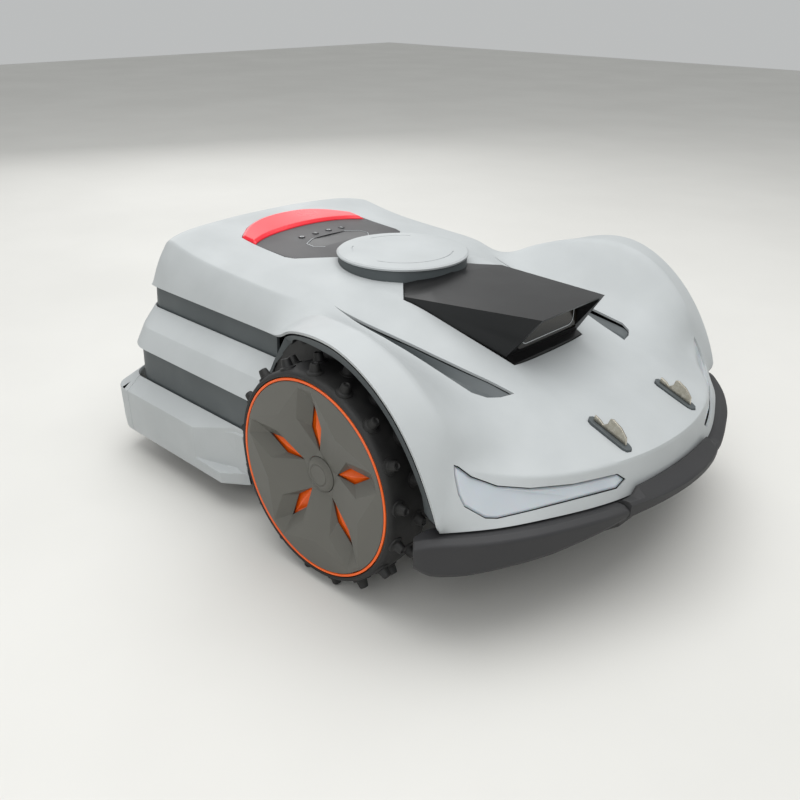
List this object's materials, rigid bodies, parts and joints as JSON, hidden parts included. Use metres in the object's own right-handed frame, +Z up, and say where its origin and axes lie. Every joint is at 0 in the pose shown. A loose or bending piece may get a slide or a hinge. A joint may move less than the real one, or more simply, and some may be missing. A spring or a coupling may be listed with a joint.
{
  "type": "robotic lawn mower",
  "caption": "Low robotic lawn mower with large knobbed drive wheels, rear swivel castors, camera hood, antenna cap, stop bar and a swinging-blade cutting disc.",
  "frame": {"origin": "middle of the bounding box's base, on the ground", "axes": "+X forward, +Y left, +Z up"},
  "size_m": [0.671, 0.542, 0.2768],
  "materials": {
    "light_plastic": "satin light grey",
    "dark_plastic": "satin dark grey",
    "black_plastic": "satin black",
    "warm_plastic": "satin warm grey",
    "orange_plastic": "satin orange",
    "red_plastic": "gloss red",
    "white_plastic": "translucent white",
    "soft_rubber": "matt dark grey",
    "tread_rubber": "matt black",
    "nickel": "nickel plated",
    "steel": "ground steel",
    "dark_glass": "dark glossy window"
  },
  "bodies": {
    "chassis": {"chassis_pan": "black_plastic", "battery_pack": "dark_plastic", "drive_motor_left": "steel", "drive_motor_right": "steel"},
    "cover": {"upper_cover": "light_plastic", "wheel_arch_left": "dark_plastic", "wheel_arch_right": "dark_plastic", "rear_core": "dark_plastic", "tier_middle": "light_plastic", "skirt_left": "light_plastic", "skirt_right": "light_plastic", "skirt_rear": "light_plastic", "vent_left": "dark_plastic", "vent_right": "dark_plastic", "camera_hood": "black_plastic", "camera_plate": "dark_plastic", "camera_window": "dark_glass", "lens_left": "dark_glass", "lens_right": "dark_glass", "light_sensor": "dark_glass", "antenna_base": "dark_plastic", "antenna_cap": "light_plastic", "control_panel": "black_plastic", "display": "dark_glass", "headlight_left": "white_plastic", "headlight_right": "white_plastic", "contact_base_left": "dark_plastic", "contact_base_right": "dark_plastic", "contact_left": "nickel", "contact_right": "nickel", "bumper_center": "soft_rubber", "bumper_left": "soft_rubber", "bumper_right": "soft_rubber"},
    "stop_button": {"stop_bar": "red_plastic"},
    "cutter": {"cutter_carriage": "dark_plastic"},
    "cutting_disc": {"blade_disc": "dark_plastic"},
    "key_1": {"key_1": "dark_plastic"},
    "key_2": {"key_2": "dark_plastic"},
    "key_3": {"key_3": "dark_plastic"},
    "key_4": {"key_4": "dark_plastic"},
    "blade_1": {"blade_1": "steel"},
    "blade_2": {"blade_2": "steel"},
    "blade_3": {"blade_3": "steel"},
    "wheel_left": {"tyre_left": "tread_rubber", "rim_left": "black_plastic", "orange_disc_left": "orange_plastic", "wheel_cover_left": "warm_plastic", "hub_cap_left": "warm_plastic"},
    "castor_left": {"castor_fork_left": "black_plastic"},
    "castor_roller_left": {"castor_wheel_left": "soft_rubber"},
    "wheel_right": {"tyre_right": "tread_rubber", "rim_right": "black_plastic", "orange_disc_right": "orange_plastic", "wheel_cover_right": "warm_plastic", "hub_cap_right": "warm_plastic"},
    "castor_right": {"castor_fork_right": "black_plastic"},
    "castor_roller_right": {"castor_wheel_right": "soft_rubber"}
  },
  "joints": [
    {"name": "cover_bump", "type": "slide", "parent": "chassis", "child": "cover", "axis": [1, 0, 0], "range_m": [-0.006, 0.006], "stiffness_N_per_m": 4000},
    {"name": "stop_press", "type": "slide", "parent": "cover", "child": "stop_button", "axis": [0, 0, -1], "range_m": [0, 0.003], "stiffness_N_per_m": 2000, "springref_m": -0.003},
    {"name": "cutting_height", "type": "slide", "parent": "chassis", "child": "cutter", "axis": [0, 0, -1], "range_m": [0, 0.03]},
    {"name": "disc_spin", "type": "hinge", "parent": "cutter", "child": "cutting_disc", "pos_m": [-0.0345, 0, 0.056], "axis": [0, 0, 1], "continuous": true},
    {"name": "key_1_press", "type": "slide", "parent": "cover", "child": "key_1", "axis": [0, 0, -1], "range_m": [0, 0.001], "stiffness_N_per_m": 800, "springref_m": -0.001},
    {"name": "key_2_press", "type": "slide", "parent": "cover", "child": "key_2", "axis": [0, 0, -1], "range_m": [0, 0.001], "stiffness_N_per_m": 800, "springref_m": -0.001},
    {"name": "key_3_press", "type": "slide", "parent": "cover", "child": "key_3", "axis": [0, 0, -1], "range_m": [0, 0.001], "stiffness_N_per_m": 800, "springref_m": -0.001},
    {"name": "key_4_press", "type": "slide", "parent": "cover", "child": "key_4", "axis": [0, 0, -1], "range_m": [0, 0.001], "stiffness_N_per_m": 800, "springref_m": -0.001},
    {"name": "blade_1_swing", "type": "hinge", "parent": "cutting_disc", "child": "blade_1", "pos_m": [0.0335, 0, 0.0518], "axis": [0, 0, 1], "continuous": true},
    {"name": "blade_2_swing", "type": "hinge", "parent": "cutting_disc", "child": "blade_2", "pos_m": [-0.0685, 0.05889, 0.0518], "axis": [0, 0, 1], "continuous": true},
    {"name": "blade_3_swing", "type": "hinge", "parent": "cutting_disc", "child": "blade_3", "pos_m": [-0.0685, -0.05889, 0.0518], "axis": [0, 0, 1], "continuous": true},
    {"name": "wheel_left_spin", "type": "hinge", "parent": "chassis", "child": "wheel_left", "pos_m": [0.0705, 0.2612, 0.119], "axis": [0, 1, 0], "continuous": true},
    {"name": "castor_left_swivel", "type": "hinge", "parent": "chassis", "child": "castor_left", "pos_m": [-0.2295, 0.12, 0.099], "axis": [0, 0, 1], "continuous": true},
    {"name": "castor_left_roll", "type": "hinge", "parent": "castor_left", "child": "castor_roller_left", "pos_m": [-0.2515, 0.12, 0.045], "axis": [0, 1, 0], "continuous": true},
    {"name": "wheel_right_spin", "type": "hinge", "parent": "chassis", "child": "wheel_right", "pos_m": [0.0705, -0.2612, 0.119], "axis": [0, 1, 0], "continuous": true},
    {"name": "castor_right_swivel", "type": "hinge", "parent": "chassis", "child": "castor_right", "pos_m": [-0.2295, -0.12, 0.099], "axis": [0, 0, 1], "continuous": true},
    {"name": "castor_right_roll", "type": "hinge", "parent": "castor_right", "child": "castor_roller_right", "pos_m": [-0.2515, -0.12, 0.045], "axis": [0, 1, 0], "continuous": true}
  ]
}
